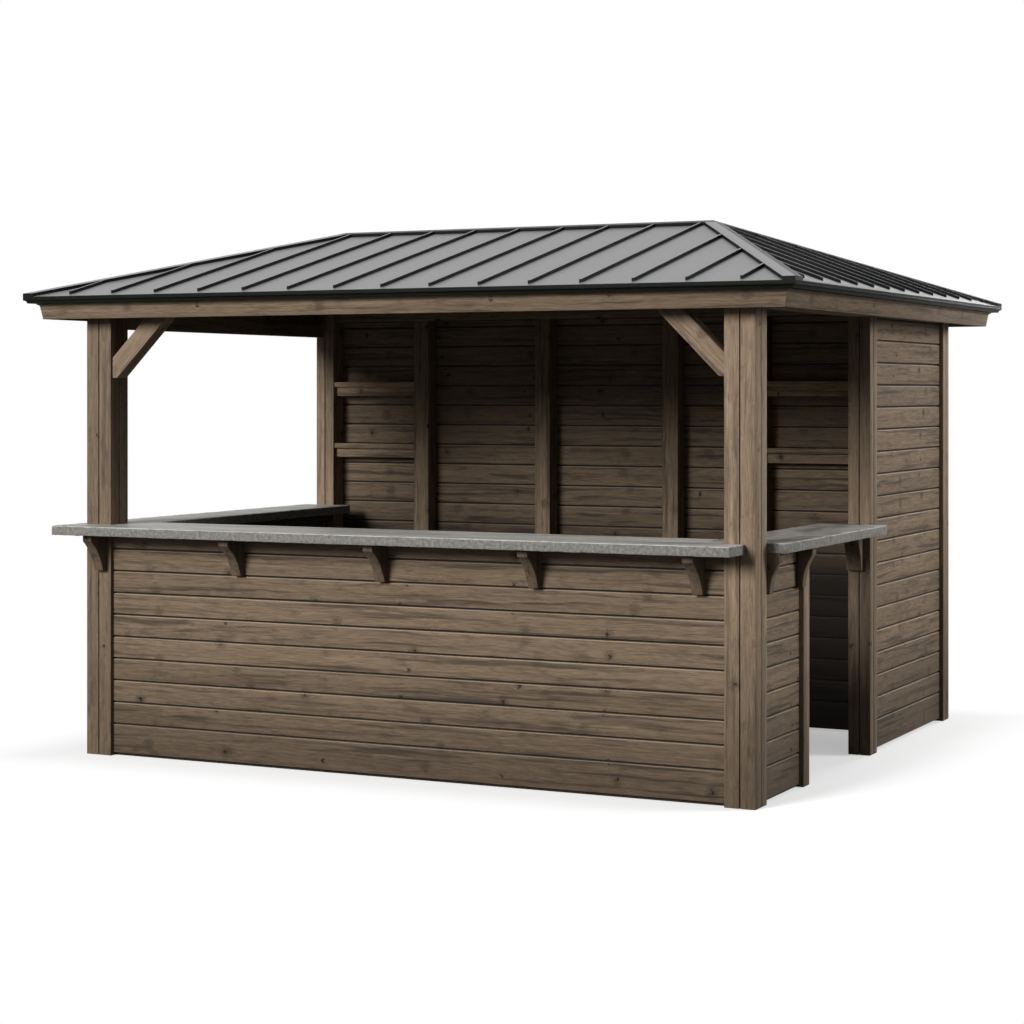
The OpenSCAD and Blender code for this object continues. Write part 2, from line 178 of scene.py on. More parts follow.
# Rough-sawn softwood under a brown penetrating stain: matt, finely streaked along the grain, with soft grey
# smears where the stain soaked in, and knots and nail stains in loose columns over the studs
stainLook = {
    "dark": "#706051", "middle": "#7b6a58", "light": "#867460",
    # the pale edge colour is a painted highlight for the boards' eased top edges
    "soaked": "#3a322b", "knot": "#211a15", "edgeHighlight": "#ad9880",
    "fibreDark": "#c2bdb7", "fibreLight": "#ffffff", "fibreShare": 0.9,
    "boardShift": (23, 7, 11), "boardSpread": 0.12,  # metres and share of tone from one board to the next
    "streakLong": 900, "streakWide": 14,
    "fibreLong": 90, "fibreWide": 4,  # real fibres are finer and wouldn't show
    "soakLong": 900, "soakWide": 26, "soakFrom": 0.5, "soakTo": 0.66, "soakShare": 0.76,
    "blotchLong": 130, "blotchWide": 42, "blotchFrom": 0.52, "blotchTo": 0.74, "blotchShare": 0.5,
    "knotAlong": 500, "knotAcross": 105, "knotLift": -0.324, "knotScatter": 0.45, "knotShare": 0.5,
    "knotRadius": 13, "knotCore": 0.5, "knotDepth": 0.9,
    "stainRadius": 42, "stainCore": 0.2, "stainDepth": 0.5,
    "ragged": 18, "raggedReach": 60, "wander": 450, "wanderReach": 35, "bowReach": 12,
    "relief": 0.4, "reliefStrength": 0.7, "smoothest": 0.62, "roughest": 0.86, "sheen": 0.1,
    # footPaintedShade: painted shade, darker towards the ground
    "brightness": 0.84, "footPaintedShade": 0.5, "footFrom": 0, "footTo": 0.6,  # metres above the ground
}


def stainedTimber(name, grain, look):
    material, tree, shader = newMaterial(name)
    place = addNode(tree, "ShaderNodeTexCoord")
    turned = addNode(tree, "ShaderNodeMapping", inputs={"Rotation": grainTurn[grain]},
                     links={"Vector": place.outputs["Object"]})
    board = addNode(tree, "ShaderNodeAttribute", {"attribute_name": "boardTone"})
    shifted = addNode(tree, "ShaderNodeVectorMath", {"operation": "MULTIPLY_ADD"}, {1: look["boardShift"]},
                      {0: board.outputs["Vector"], 2: turned.outputs["Vector"]})
    # one knot to a cell of the grid, with its distance measured in the plane of the surface
    cell = Vector((look["knotAlong"], look["knotAcross"], look["knotAcross"])) / 1000
    grid = addNode(tree, "ShaderNodeVectorMath", {"operation": "MULTIPLY_ADD"},
                   {1: [1 / c for c in cell], 2: (0, 0, look["knotLift"])}, {0: turned.outputs["Vector"]})
    knots = addNode(tree, "ShaderNodeTexVoronoi", inputs={"Scale": 1, "Randomness": look["knotScatter"]},
                    links={"Vector": grid.outputs["Vector"]})
    apart = addNode(tree, "ShaderNodeVectorMath", {"operation": "SUBTRACT"},
                    links={0: grid.outputs["Vector"], 1: knots.outputs["Position"]})
    away = addNode(tree, "ShaderNodeVectorMath", {"operation": "MULTIPLY"}, {1: cell},
                   {0: apart.outputs["Vector"]})
    surface = addNode(tree, "ShaderNodeNewGeometry")
    facing = addNode(tree, "ShaderNodeMapping", {"vector_type": "VECTOR"}, {"Rotation": grainTurn[grain]},
                     {"Vector": surface.outputs["True Normal"]})
    deep = addNode(tree, "ShaderNodeVectorMath", {"operation": "PROJECT"},
                   links={0: away.outputs["Vector"], 1: facing.outputs["Vector"]})
    flat = addNode(tree, "ShaderNodeVectorMath", {"operation": "SUBTRACT"},
                   links={0: away.outputs["Vector"], 1: deep.outputs["Vector"]})
    ragged = addNode(tree, "ShaderNodeTexNoise",
                     inputs={"Scale": perMetre(look["ragged"]), "Detail": 5, "Roughness": 0.75},
                     links={"Vector": shifted.outputs["Vector"]})
    raggedReach = look["raggedReach"] / 1000
    raggedPlace = addNode(tree, "ShaderNodeVectorMath", {"operation": "MULTIPLY_ADD"}, {1: [raggedReach] * 3},
                          {0: ragged.outputs["Color"], 2: flat.outputs["Vector"]})
    middled = addNode(tree, "ShaderNodeVectorMath", {"operation": "SUBTRACT"}, {1: [raggedReach / 2] * 3},
                      {0: raggedPlace.outputs["Vector"]})
    knotDistance = addNode(tree, "ShaderNodeVectorMath", {"operation": "LENGTH"},
                           links={0: middled.outputs["Vector"]}).outputs["Value"]
    knotPick = addNode(tree, "ShaderNodeSeparateColor", links={"Color": knots.outputs["Color"]})
    masks = {}
    for part, pick in (("knot", "Red"), ("stain", "Green")):
        reach = look[part + "Radius"] / 1000
        near = addNode(tree, "ShaderNodeMapRange", {"interpolation_type": "SMOOTHSTEP"},
                       {"From Min": reach * look[part + "Core"], "From Max": reach,
                        "To Min": look[part + "Depth"], "To Max": 0}, {"Value": knotDistance})
        kept = addNode(tree, "ShaderNodeMath", {"operation": "LESS_THAN"}, {1: look["knotShare"]},
                       {0: knotPick.outputs[pick]})
        masks[part] = addNode(tree, "ShaderNodeMath", {"operation": "MULTIPLY"},
                              links={0: near.outputs["Result"], 1: kept.outputs[0]}).outputs[0]
    # the grain wanders slowly and bows round each knot
    wander = addNode(tree, "ShaderNodeTexNoise", inputs={"Scale": perMetre(look["wander"]), "Detail": 2},
                     links={"Vector": shifted.outputs["Vector"]})
    wanderReach = look["wanderReach"] / 1000
    wandered = addNode(tree, "ShaderNodeVectorMath", {"operation": "MULTIPLY_ADD"},
                       {1: (0, wanderReach, wanderReach)},
                       {0: wander.outputs["Color"], 2: shifted.outputs["Vector"]})
    bow = addNode(tree, "ShaderNodeMapRange", {"interpolation_type": "SMOOTHSTEP"},
                  {"From Max": look["stainRadius"] / 1000, "To Min": look["bowReach"] / 1000, "To Max": 0},
                  {"Value": knotDistance})
    bowed = addNode(tree, "ShaderNodeVectorMath", {"operation": "ADD"},
                    links={0: wandered.outputs["Vector"], 1: bow.outputs["Result"]})
    patterns = {}
    for part, source, detail in (("streak", bowed, 5), ("fibre", bowed, 4), ("soak", wandered, 4),
                                 ("blotch", shifted, 5)):
        across = perMetre(look[part + "Wide"])
        spread = addNode(tree, "ShaderNodeVectorMath", {"operation": "MULTIPLY"},
                         {1: (perMetre(look[part + "Long"]), across, across)}, {0: source.outputs["Vector"]})
        patterns[part] = addNode(tree, "ShaderNodeTexNoise",
                                 inputs={"Scale": 1, "Detail": detail, "Roughness": 0.64},
                                 links={"Vector": spread.outputs["Vector"]}).outputs["Fac"]
    tone = addNode(tree, "ShaderNodeValToRGB", links={"Fac": patterns["streak"]},
                   stops=[(0.32, look["dark"]), (0.68, look["light"]), (0.5, look["middle"])])
    fibre = addNode(tree, "ShaderNodeValToRGB", links={"Fac": patterns["fibre"]},
                    stops=[(0.34, look["fibreDark"]), (0.64, look["fibreLight"])])
    layer = addNode(tree, "ShaderNodeMix", {"data_type": "RGBA", "blend_type": "MULTIPLY"},
                    {0: look["fibreShare"]},
                    {6: tone.outputs["Color"], 7: fibre.outputs["Color"]}).outputs[2]
    for part in ("soak", "blotch"):
        masks[part] = addNode(tree, "ShaderNodeMapRange", {"interpolation_type": "SMOOTHSTEP"},
                              {"From Min": look[part + "From"], "From Max": look[part + "To"],
                               "To Max": look[part + "Share"]}, {"Value": patterns[part]}).outputs["Result"]
    # painted highlight on the eased top edges of boards
    edge = addNode(tree, "ShaderNodeAttribute", {"attribute_name": "paintedEdgeHighlight"})
    masks["edgeHighlight"] = addNode(tree, "ShaderNodeMath", {"operation": "MULTIPLY"},
                            links={0: edge.outputs["Fac"], 1: patterns["streak"]}).outputs[0]
    for part, colour in (("soak", "soaked"), ("blotch", "soaked"), ("stain", "soaked"), ("knot", "knot"),
                         ("edgeHighlight", "edgeHighlight")):
        layer = addNode(tree, "ShaderNodeMix", {"data_type": "RGBA"}, {7: hexColor(look[colour])},
                        {0: masks[part], 6: layer}).outputs[2]
    level = addNode(tree, "ShaderNodeMapRange",
                    inputs={"From Min": -1, "From Max": 1,
                            "To Min": look["brightness"] * (1 - look["boardSpread"]),
                            "To Max": look["brightness"] * (1 + look["boardSpread"])},
                    links={"Value": board.outputs["Fac"]})
    # painted shade: darker lower down
    upright = addNode(tree, "ShaderNodeSeparateXYZ", links={"Vector": place.outputs["Object"]})
    paintedFootShade = addNode(tree, "ShaderNodeMapRange", {"interpolation_type": "SMOOTHSTEP"},
                     {"From Min": look["footFrom"], "From Max": look["footTo"], "To Min": look["footPaintedShade"]},
                     {"Value": upright.outputs["Z"]})
    shaded = addNode(tree, "ShaderNodeMath", {"operation": "MULTIPLY"},
                     links={0: level.outputs["Result"], 1: paintedFootShade.outputs["Result"]})
    toned = addNode(tree, "ShaderNodeHueSaturation", links={"Value": shaded.outputs[0], "Color": layer})
    tree.links.new(toned.outputs["Color"], shader.inputs["Base Color"])
    rough = addNode(tree, "ShaderNodeMapRange",
                    inputs={"To Min": look["smoothest"], "To Max": look["roughest"]},
                    links={"Value": patterns["fibre"]})
    tree.links.new(rough.outputs["Result"], shader.inputs["Roughness"])
    shader.inputs["Specular IOR Level"].default_value = look["sheen"]
    height = addNode(tree, "ShaderNodeMix", {"data_type": "FLOAT"}, {0: 0.5},
                     {2: patterns["streak"], 3: patterns["fibre"]})
    relief = addNode(tree, "ShaderNodeBump",
                     inputs={"Strength": look["reliefStrength"], "Distance": look["relief"] / 1000},
                     links={"Height": height.outputs[0]})
    tree.links.new(relief.outputs["Normal"], shader.inputs["Normal"])
    return material


# Sawn framing timber, left plain: paler, with the same grain
sawnLook = dict(stainLook, dark="#6b5a47", middle="#8a755c", light="#a08a6e", soaked="#5d4e3e",
                soakShare=0.35)
# Posts with fewer knots and smears, with copies painted darker as shade or paler as light one by one, and the
# eave timber painted darker as shade, more so at the sides
postStain = dict(stainLook, brightness=1.09, knotShare=0.22, soakShare=0.5, footTo=1.0)
shadedPostLook = dict(postStain, brightness=0.8, footPaintedShade=0.85)
litPostLook = dict(postStain, brightness=1.2)
eaveShadeLook = dict(stainLook, brightness=0.79)
sideEaveShadeLook = dict(eaveShadeLook, brightness=0.65)
# Back bar: boards painted dark as shade below the counter, and shelves painted pale as light, the lower ones
# painted darker as shade
insideShadeLook = dict(stainLook, brightness=0.76, footPaintedShade=0.06, footFrom=0.75, footTo=1.25)
shelfLightAndShadeLook = dict(stainLook, brightness=1.6, footPaintedShade=0.62, footFrom=1.46, footTo=1.75)
bracketShadeLook = dict(stainLook, brightness=0.56)  # painted shade: darker, for the shade under the counter
railShadeLook = dict(stainLook, brightness=0.3)  # painted shade: rails of the bar, painted dark for the shade under the counter and at the wall's foot

claddingX = stainedTimber("stainedCladdingX", "x", stainLook)
claddingY = stainedTimber("stainedCladdingY", "y", stainLook)
shadedInsideX = stainedTimber("paintedShadeInsideCladding", "x", insideShadeLook)
postTimber = stainedTimber("stainedPostTimber", "z", postStain)
shadedPost = stainedTimber("paintedShadePost", "z", shadedPostLook)
litPost = stainedTimber("paintedLightPost", "z", litPostLook)
braceRight = stainedTimber("stainedBraceUpRight", "upRight", postStain)
braceLeft = stainedTimber("stainedBraceUpLeft", "upLeft", postStain)
shadedEaveX = stainedTimber("paintedShadeEaveX", "x", eaveShadeLook)
shadedEaveY = stainedTimber("paintedShadeEaveY", "y", sideEaveShadeLook)
shelfLightAndShadeTimber = stainedTimber("paintedLightAndShadeShelf", "x", shelfLightAndShadeLook)
uprightTimber = stainedTimber("stainedUprightTimber", "z", stainLook)
shadedBracketTimber = stainedTimber("paintedShadeBracketTimber", "z", bracketShadeLook)
shadedRailTimber = stainedTimber("paintedShadeRailTimber", "x", railShadeLook)
sawnX = stainedTimber("sawnTimberX", "x", sawnLook)
sawnZ = stainedTimber("sawnTimberZ", "z", sawnLook)


# Building felt behind the boards: black as felt is, and also standing in as painted shade in the gaps, so
# that the gaps between boards read as dark lines
feltAndGapShadeLook = {"dark": "#0e0c0a", "light": "#191511", "grit": 6, "roughness": 0.9}


def feltAndGapShadeMaterial():
    material, tree, shader = newMaterial("blackFeltAndGapShade")
    place = addNode(tree, "ShaderNodeTexCoord")
    grit = addNode(tree, "ShaderNodeTexNoise", inputs={"Scale": perMetre(feltAndGapShadeLook["grit"]), "Detail": 3},
                   links={"Vector": place.outputs["Object"]})
    tone = addNode(tree, "ShaderNodeValToRGB", links={"Fac": grit.outputs["Fac"]},
                   stops=[(0.3, feltAndGapShadeLook["dark"]), (0.7, feltAndGapShadeLook["light"])])
    tree.links.new(tone.outputs["Color"], shader.inputs["Base Color"])
    shader.inputs["Roughness"].default_value = feltAndGapShadeLook["roughness"]
    return material


# Grey cast concrete: a trowelled top with faint drawn-out clouds, and edges broken back to the grit
slabLook = {
    "top": "#b8b6b0", "topDark": "#82807a", "edge": "#686661", "gritDark": "#4b4944", "gritLight": "#827f79",
    "arris": "#bdbbb4", "cloudLong": 600, "cloudWide": 80, "grit": 5, "broken": 15, "speck": 14,
    "speckShare": 0.35, "arrisShare": 0.8, "topTilt": (0.75, 0.97), "arrisTilt": (0.2, 0.45),
    "relief": 1.0, "topRelief": 0.12, "edgeRelief": 0.9, "topRoughness": 0.48, "edgeRoughness": 0.9,
    "sheen": 0.25,
}
# The right slab is painted darker as shade, and more mottled
rightSlabShadeLook = dict(slabLook, top="#928f89", topDark="#585652", cloudLong=110, cloudWide=240)


def castConcrete(name, look):
    material, tree, shader = newMaterial(name)
    place = addNode(tree, "ShaderNodeTexCoord")
    surface = addNode(tree, "ShaderNodeNewGeometry")
    upward = addNode(tree, "ShaderNodeSeparateXYZ", links={"Vector": surface.outputs["True Normal"]})
    topMask = addNode(tree, "ShaderNodeMapRange", {"interpolation_type": "SMOOTHSTEP"},
                      {"From Min": look["topTilt"][0], "From Max": look["topTilt"][1]},
                      {"Value": upward.outputs["Z"]})
    drawn = addNode(tree, "ShaderNodeVectorMath", {"operation": "MULTIPLY"},
                    {1: (perMetre(look["cloudLong"]), perMetre(look["cloudWide"]), 1)},
                    {0: place.outputs["Object"]})
    clouds = addNode(tree, "ShaderNodeTexNoise", inputs={"Scale": 1, "Detail": 6, "Roughness": 0.6},
                     links={"Vector": drawn.outputs["Vector"]})
    grit = addNode(tree, "ShaderNodeTexNoise",
                   inputs={"Scale": perMetre(look["grit"]), "Detail": 3, "Roughness": 0.7},
                   links={"Vector": place.outputs["Object"]})
    broken = addNode(tree, "ShaderNodeTexNoise",
                     inputs={"Scale": perMetre(look["broken"]), "Detail": 4, "Roughness": 0.6},
                     links={"Vector": place.outputs["Object"]})
    rough = addNode(tree, "ShaderNodeMix", {"data_type": "FLOAT"}, {0: 0.4},
                    {2: broken.outputs["Fac"], 3: grit.outputs["Fac"]})
    specks = addNode(tree, "ShaderNodeTexVoronoi", inputs={"Scale": perMetre(look["speck"])},
                     links={"Vector": place.outputs["Object"]})
    topTone = addNode(tree, "ShaderNodeValToRGB", links={"Fac": clouds.outputs["Fac"]},
                      stops=[(0.34, look["topDark"]), (0.6, look["top"])])
    edgeTone = addNode(tree, "ShaderNodeValToRGB", links={"Fac": rough.outputs[0]},
                       stops=[(0.34, look["gritDark"]), (0.66, look["gritLight"]), (0.5, look["edge"])])
    gritShare = addNode(tree, "ShaderNodeMapRange", inputs={"To Max": look["speckShare"]},
                        links={"Value": specks.outputs["Color"]})
    topSpecked = addNode(tree, "ShaderNodeMix", {"data_type": "RGBA"},
                         links={0: gritShare.outputs["Result"], 6: topTone.outputs["Color"],
                                7: edgeTone.outputs["Color"]})
    mixed = addNode(tree, "ShaderNodeMix", {"data_type": "RGBA"},
                    links={0: topMask.outputs["Result"], 6: edgeTone.outputs["Color"],
                           7: topSpecked.outputs[2]})
    risen = addNode(tree, "ShaderNodeMapRange", {"interpolation_type": "SMOOTHSTEP"},
                    {"From Min": look["arrisTilt"][0], "From Max": look["arrisTilt"][1],
                     "To Max": look["arrisShare"]}, {"Value": upward.outputs["Z"]})
    arrisMask = addNode(tree, "ShaderNodeMath", {"operation": "SUBTRACT", "use_clamp": True},
                        links={0: risen.outputs["Result"], 1: topMask.outputs["Result"]})
    rubbed = addNode(tree, "ShaderNodeMix", {"data_type": "RGBA"}, {7: hexColor(look["arris"])},
                     {0: arrisMask.outputs[0], 6: mixed.outputs[2]})
    tree.links.new(rubbed.outputs[2], shader.inputs["Base Color"])
    trowelled = addNode(tree, "ShaderNodeMapRange",
                        inputs={"To Min": look["edgeRoughness"], "To Max": look["topRoughness"]},
                        links={"Value": topMask.outputs["Result"]})
    tree.links.new(trowelled.outputs["Result"], shader.inputs["Roughness"])
    shader.inputs["Specular IOR Level"].default_value = look["sheen"]
    strength = addNode(tree, "ShaderNodeMapRange",
                       inputs={"To Min": look["edgeRelief"], "To Max": look["topRelief"]},
                       links={"Value": topMask.outputs["Result"]})
    relief = addNode(tree, "ShaderNodeBump", inputs={"Distance": look["relief"] / 1000},
                     links={"Height": rough.outputs[0], "Strength": strength.outputs["Result"]})
    tree.links.new(relief.outputs["Normal"], shader.inputs["Normal"])
    return material


# Coil-coated steel, dark grey, satin: dark face on, pale where it mirrors the sky at a low angle, with the
# slight waviness of thin sheet
sheetLook = {"tone": "#686868", "toneDusty": "#727272", "wave": 420, "waveDepth": 1.2, "dust": 35,
             "roughness": 0.38, "polish": 0.05, "film": 0.09, "waveStrength": 0.6, "sheen": 0.5}
# seam sides and cap edges: the same sheet, painted near black as shade
seamShadeLook = dict(sheetLook, tone="#0e0f0f", toneDusty="#161717", roughness=0.5, sheen=0.035)
# caps: a matt copy of the sheet, painted darker as shade
capShadeLook = dict(sheetLook, tone="#5a5a5a", toneDusty="#636363", roughness=0.62, sheen=0.1)
trimLook = dict(sheetLook, tone="#0d100b", toneDusty="#131611", wave=700, waveDepth=0.4, roughness=0.5,
                sheen=0.03)


def coatedSteel(name, look):
    material, tree, shader = newMaterial(name)
    place = addNode(tree, "ShaderNodeTexCoord")
    wave = addNode(tree, "ShaderNodeTexNoise", inputs={"Scale": perMetre(look["wave"]), "Detail": 1},
                   links={"Vector": place.outputs["Object"]})
    dust = addNode(tree, "ShaderNodeTexNoise",
                   inputs={"Scale": perMetre(look["dust"]), "Detail": 6, "Roughness": 0.7},
                   links={"Vector": place.outputs["Object"]})
    tone = addNode(tree, "ShaderNodeValToRGB", links={"Fac": dust.outputs["Fac"]},
                   stops=[(0.35, look["tone"]), (0.75, look["toneDusty"])])
    tree.links.new(tone.outputs["Color"], shader.inputs["Base Color"])
    rough = addNode(tree, "ShaderNodeMapRange",
                    inputs={"To Min": look["roughness"] - look["polish"],
                            "To Max": look["roughness"] + look["film"]},
                    links={"Value": dust.outputs["Fac"]})
    tree.links.new(rough.outputs["Result"], shader.inputs["Roughness"])
    shader.inputs["Specular IOR Level"].default_value = look["sheen"]
    relief = addNode(tree, "ShaderNodeBump",
                     inputs={"Strength": look["waveStrength"], "Distance": look["waveDepth"] / 1000},
                     links={"Height": wave.outputs["Fac"]})
    tree.links.new(relief.outputs["Normal"], shader.inputs["Normal"])
    return material


feltAndGapShade = feltAndGapShadeMaterial()
concrete = castConcrete("greyCastConcrete", slabLook)
shadedRightConcrete = castConcrete("paintedShadeCastConcrete", rightSlabShadeLook)
roofSheet = coatedSteel("darkGreyCoatedSheet", sheetLook)
seamShadeSheet = coatedSteel("paintedShadeSeams", seamShadeLook)
capShadeSheet = coatedSteel("paintedShadeMattCaps", capShadeLook)
trimSheet = coatedSteel("blackGreenCoatedTrim", trimLook)
print("stage: materials made")


# Horizontal boards: a wide eased top edge that catches the light, a dark gap under each board
boardLook = {"thick": 0.014, "gap": 0.009, "topEase": 0.004, "footEase": 0.001, "endGap": 0.002,
             "lap": 0.0005, "easedTilt": (0.3, 0.9)}
barRows = {"firstGroove": 0.139, "pitch": 0.105}
wallRows = {"firstGroove": 0.14, "pitch": 0.1085}


def layBoards(name, low, high, across, outward, rows, material):
    along = 1 - across  # 0 for X, 1 for Y
    face = high[across] if outward > 0 else low[across]
    inner = face - outward * boardLook["thick"]
    pitch = rows["pitch"]
    lowestGroove = low.z + rows["firstGroove"]
    foot, head = Vector(low), Vector(high)
    foot[across], head[across] = min(face, inner), max(face, inner)
    foot[along] += boardLook["endGap"]
    head[along] -= boardLook["endGap"]
    foot.z = lowestGroove - pitch + boardLook["gap"] / 2
    head.z = lowestGroove - boardLook["gap"] / 2
    board = addBlock(name, foot, head)
    near = 0.0001
    for level, ease, segments in ((head.z, boardLook["topEase"], 1), (foot.z, boardLook["footEase"], 2)):
        selectEdges(board, lambda p: abs(p.z - level) < near and abs(p[across] - face) < near)
        bpy.ops.mesh.bevel(offset=ease, segments=segments, affect="EDGES")
        bpy.ops.object.mode_set(mode="OBJECT")
    rowCount = math.ceil((high.z - lowestGroove) / pitch) + 1
    bpy.ops.object.modifier_add(type="ARRAY")
    stack = board.modifiers[-1]
    stack.count = rowCount
    stack.use_relative_offset = False
    stack.use_constant_offset = True
    stack.constant_offset_displace = (0, 0, pitch)
    bpy.ops.object.modifier_apply(modifier=stack.name)
    # the lowest board reaches down to the wall's foot
    selectPoints(board, lambda p: p.z < foot.z + pitch / 2)
    bpy.ops.transform.translate(value=(0, 0, low.z - foot.z))
    bpy.ops.mesh.select_all(action="SELECT")
    bpy.ops.mesh.bisect(plane_co=(0, 0, high.z), plane_no=(0, 0, 1), use_fill=True, clear_outer=True)
    bpy.ops.object.mode_set(mode="OBJECT")
    tones = [random.uniform(-1, 1) for i in range(rowCount)]
    tone = board.data.attributes.new("boardTone", "FLOAT", "FACE")
    for i, polygon in enumerate(board.data.polygons):
        row = math.floor((polygon.center.z - lowestGroove) / pitch) + 1
        tone.data[i].value = tones[min(max(row, 0), rowCount - 1)]
    edgeHighlight = board.data.attributes.new("paintedEdgeHighlight", "FLOAT", "FACE")  # painted highlight on the eased top edges
    steepest, flattest = boardLook["easedTilt"]
    for i, polygon in enumerate(board.data.polygons):
        edgeHighlight.data[i].value = 1.0 if steepest < polygon.normal.z < flattest else 0.0
    board.data.materials.append(material)
    return board


def boardedWall(name, node, across, sides, rows, material):
    low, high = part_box(node)
    runs = [layBoards(name, low, high, across, side, rows, material) for side in sides]
    coreLow, coreHigh = Vector(low), Vector(high)
    setBack = boardLook["thick"] - boardLook["lap"]
    if -1 in sides:
        coreLow[across] += setBack
    if 1 in sides:
        coreHigh[across] -= setBack
    core = addBlock(name + "Core", coreLow, coreHigh)
    core.data.materials.append(feltAndGapShade)
    finishPiece(joinPieces(runs + [core]), "cladding_timber", node)


boardedWall("frontBarBoards", "front_bar_cladding", 1, [-1], barRows, claddingX)
boardedWall("leftBarBoards", "left_bar_cladding", 0, [-1], barRows, claddingY)
boardedWall("rightBarBoards", "right_bar_cladding", 0, [1], barRows, claddingY)
boardedWall("leftWallBoards", "left_wall", 0, [-1, 1], wallRows, claddingY)
boardedWall("rightWallBoards", "right_wall", 0, [-1, 1], wallRows, claddingY)
boardedWall("backWallBoards", "back_wall", 1, [-1, 1], wallRows, claddingX)
boardedWall("partitionBoards", "partition_wall", 1, [-1, 1], wallRows, shadedInsideX)
print("stage: boarded walls laid")


# Posts of four sticks glued together, whose eased corners meet in a joint line down each face
postLook = {"ease": 0.0015, "joint": 0.005, "toneSpread": 0.6}


def gluedPost(name, low, high, material):
    middle = (low + high) / 2
    sticks = []
    for sideX in (0, 1):
        for sideY in (0, 1):
            foot, head = Vector(low), Vector(high)
            (foot if sideX else head).x = middle.x + (sideX - 0.5) * postLook["joint"]
            (foot if sideY else head).y = middle.y + (sideY - 0.5) * postLook["joint"]
            stick = addBlock(name, foot, head)
            easeEdges(stick, postLook["ease"])
            tone = stick.data.attributes.new("boardTone", "FLOAT", "FACE")
            value = random.uniform(-postLook["toneSpread"], postLook["toneSpread"])
            tone.data.foreach_set("value", [value] * len(stick.data.polygons))
            sticks.append(stick)
    post = joinPieces(sticks)
    post.data.materials.append(material)
    return post


# the front-left post and the door post take the copy painted darker as shade, the left rear post the copy
# painted paler as light
for postName, postNode, postMaterial in (
        ("frontLeftPost", "front_left_post", shadedPost), ("frontRightPost", "front_right_post", postTimber),
        ("leftRearPost", "left_rear_post", litPost), ("doorPost", "door_post", shadedPost)):
    finishPiece(gluedPost(postName, *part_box(postNode), postMaterial), "post_timber", postNode)
backLow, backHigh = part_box("back_posts")
backSide = backHigh.y - backLow.y
backPair = []
for backX in (backLow.x, backHigh.x - backSide):
    backFoot = Vector((backX, backLow.y, backLow.z))
    backHead = Vector((backX + backSide, backHigh.y, backHigh.z))
    backPair.append(gluedPost("backPosts", backFoot, backHead, postTimber))
finishPiece(joinPieces(backPair), "post_timber", "back_posts")
print("stage: posts made")


# Planed and sawn pieces that keep the CAD shape, with eased edges
easedPieces = [
    ("rightEndPost", "right_end_post", "post_timber", postTimber, 0.004),
    ("backBarShelves", "shelves", "back_bar_timber", shelfLightAndShadeTimber, 0.003),
    ("frontBrackets", "front_brackets", "post_timber", shadedBracketTimber, 0.003),
    ("leftBrackets", "left_brackets", "post_timber", shadedBracketTimber, 0.003),
    ("rightBrackets", "right_brackets", "post_timber", shadedBracketTimber, 0.003),
    ("frontHeader", "front_header", "eave_timber", shadedEaveX, 0.004),
    ("leftHeader", "left_header", "eave_timber", shadedEaveY, 0.004),
    ("rightHeader", "right_header", "eave_timber", shadedEaveY, 0.004),
    ("frontFascia", "front_fascia", "eave_timber", shadedEaveX, 0.002),
    ("backFascia", "back_fascia", "eave_timber", shadedEaveX, 0.002),
    ("leftFascia", "left_fascia", "eave_timber", shadedEaveY, 0.002),
    ("rightFascia", "right_fascia", "eave_timber", shadedEaveY, 0.002),
    ("frontEaveTrim", "front_eave_trim", "eave_trim", trimSheet, 0.002),
    ("backEaveTrim", "back_eave_trim", "eave_trim", trimSheet, 0.002),
    ("leftEaveTrim", "left_eave_trim", "eave_trim", trimSheet, 0.002),
    ("rightEaveTrim", "right_eave_trim", "eave_trim", trimSheet, 0.002),
]
for pieceName, pieceNode, pieceSlot, pieceMaterial, ease in easedPieces:
    easedPiece = copyNode(pieceName, pieceNode)
    easeEdges(easedPiece, ease)
    easedPiece.data.materials.append(pieceMaterial)
    finishPiece(easedPiece, pieceSlot, pieceNode)
print("stage: eased pieces made")

# Knee braces: one piece each, so that the grain follows its own slope
braceCuts = {"ease": 0.004}
for braceName, braceMaterial, keepLeft in (("leftBrace", braceRight, True), ("rightBrace", braceLeft, False)):
    brace = copyNode(braceName, "knee_braces")
    selectPoints(brace, lambda p: (p.x > 0) == keepLeft)
    bpy.ops.mesh.delete(type="VERT")
    bpy.ops.object.mode_set(mode="OBJECT")
    easeEdges(brace, braceCuts["ease"])
    brace.data.materials.append(braceMaterial)
    finishPiece(brace, "post_timber", "knee_braces")

# Back-bar uprights and the head rail over them: parted by a fine joint, so that each has its own grain
backBarCuts = {"headRail": 0.057, "joint": 0.0003, "ease": 0.004}
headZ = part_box("partition_uprights")[1].z - backBarCuts["headRail"]
for partName, partMaterial, keepBelow, cutZ in (
        ("partitionUprights", uprightTimber, True, headZ - backBarCuts["joint"]),
        ("headRail", claddingX, False, headZ)):
    part = copyNode(partName, "partition_uprights")
    pickOnly(part)
    bpy.ops.object.mode_set(mode="EDIT")
    bpy.ops.mesh.select_all(action="SELECT")
    bpy.ops.mesh.bisect(plane_co=(0, 0, cutZ), plane_no=(0, 0, 1), use_fill=True, clear_outer=keepBelow,
                        clear_inner=not keepBelow)
    bpy.ops.object.mode_set(mode="OBJECT")
    easeEdges(part, backBarCuts["ease"])
    part.data.materials.append(partMaterial)
    finishPiece(part, "back_bar_timber", "partition_uprights")

